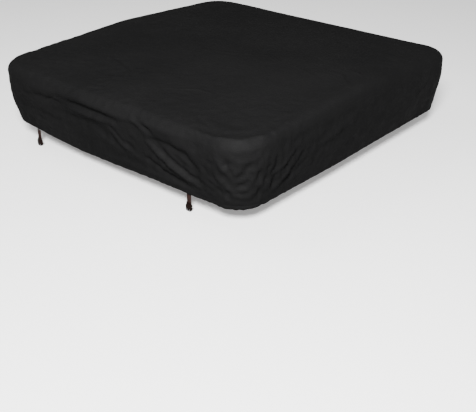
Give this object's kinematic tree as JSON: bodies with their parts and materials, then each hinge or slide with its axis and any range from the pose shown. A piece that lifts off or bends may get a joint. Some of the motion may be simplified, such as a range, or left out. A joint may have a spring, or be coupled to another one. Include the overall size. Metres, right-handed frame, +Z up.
{
  "type": "spa cover",
  "caption": "Square hot-tub cover: tapered foam panels in vinyl jackets that fold along the middle, under a fitted black fabric cap with an elastic hem and clip straps that hold it down.",
  "frame": {"origin": "middle of the underside, on the plane that rests on the tub's rim", "axes": "+Z up; +X along the hinge, towards the side seen on the right of the picture; -Y towards the side with the straps in view"},
  "size_m": [1.86, 1.86, 0.4914],
  "materials": {
    "cap_fabric": "matte",
    "hem_binding": "matte",
    "elastic": "matte",
    "vinyl": "satin",
    "scrim": "matte",
    "foam": "matte",
    "steel": "satin",
    "webbing": "matte",
    "plastic": "satin",
    "zip_tape": "matte",
    "zip_metal": "satin"
  },
  "bodies": {
    "rear_half": {"foam_core_rear": "foam", "steel_channel_rear": "steel", "vinyl_jacket_rear": "vinyl", "valance_rear": "vinyl", "hinge_leaf_rear": "vinyl", "zip_rear": "zip_tape", "zip_slider_rear": "zip_metal", "cap_rear": "cap_fabric", "cap_hem_rear": "hem_binding", "hem_elastic_rear": "elastic", "handle_rear_left": "webbing", "handle_rear_right": "webbing", "strap_rear_1": "webbing", "strap_rear_2": "webbing", "hinge_seal": "scrim"},
    "front_half": {"foam_core_front": "foam", "steel_channel_front": "steel", "vinyl_jacket_front": "vinyl", "valance_front": "vinyl", "hinge_leaf_front": "vinyl", "zip_front": "zip_tape", "zip_slider_front": "zip_metal", "cap_front": "cap_fabric", "cap_hem_front": "hem_binding", "hem_elastic_front": "elastic", "handle_front_left": "webbing", "handle_front_right": "webbing", "strap_front_1": "webbing", "strap_front_2": "webbing"},
    "strap_end_front_1": {"strap_tail_front_1": "webbing", "clip_front_1": "plastic"},
    "lock_front_1": {"lock_base_front_1": "plastic", "screw_front_1_left": "steel", "screw_front_1_right": "steel"},
    "strap_end_front_2": {"strap_tail_front_2": "webbing", "clip_front_2": "plastic"},
    "lock_front_2": {"lock_base_front_2": "plastic", "screw_front_2_left": "steel", "screw_front_2_right": "steel"},
    "strap_end_rear_1": {"strap_tail_rear_1": "webbing", "clip_rear_1": "plastic"},
    "lock_rear_1": {"lock_base_rear_1": "plastic", "screw_rear_1_left": "steel", "screw_rear_1_right": "steel"},
    "strap_end_rear_2": {"strap_tail_rear_2": "webbing", "clip_rear_2": "plastic"},
    "lock_rear_2": {"lock_base_rear_2": "plastic", "screw_rear_2_left": "steel", "screw_rear_2_right": "steel"}
  },
  "joints": [
    {"name": "cover_fold", "type": "hinge", "parent": "rear_half", "child": "front_half", "pos_m": [0, 0, 0.133], "axis": [-1, 0, 0], "range_deg": [0, 180]},
    {"name": "strap_swing_front_1", "type": "hinge", "parent": "front_half", "child": "strap_end_front_1", "pos_m": [-0.655, -0.87525, -0.27], "axis": [-1, 0, 0], "range_deg": [0, 70]},
    {"name": "clip_release_front_1", "type": "slide", "parent": "strap_end_front_1", "child": "lock_front_1", "axis": [0, 0, -1], "range_m": [0, 0.03]},
    {"name": "strap_swing_front_2", "type": "hinge", "parent": "front_half", "child": "strap_end_front_2", "pos_m": [0.535, -0.87525, -0.27], "axis": [-1, 0, 0], "range_deg": [0, 70]},
    {"name": "clip_release_front_2", "type": "slide", "parent": "strap_end_front_2", "child": "lock_front_2", "axis": [0, 0, -1], "range_m": [0, 0.03]},
    {"name": "strap_swing_rear_1", "type": "hinge", "parent": "rear_half", "child": "strap_end_rear_1", "pos_m": [0.655, 0.87525, -0.27], "axis": [1, 0, 0], "range_deg": [0, 70]},
    {"name": "clip_release_rear_1", "type": "slide", "parent": "strap_end_rear_1", "child": "lock_rear_1", "axis": [0, 0, -1], "range_m": [0, 0.03]},
    {"name": "strap_swing_rear_2", "type": "hinge", "parent": "rear_half", "child": "strap_end_rear_2", "pos_m": [-0.535, 0.87525, -0.27], "axis": [1, 0, 0], "range_deg": [0, 70]},
    {"name": "clip_release_rear_2", "type": "slide", "parent": "strap_end_rear_2", "child": "lock_rear_2", "axis": [0, 0, -1], "range_m": [0, 0.03]}
  ]
}
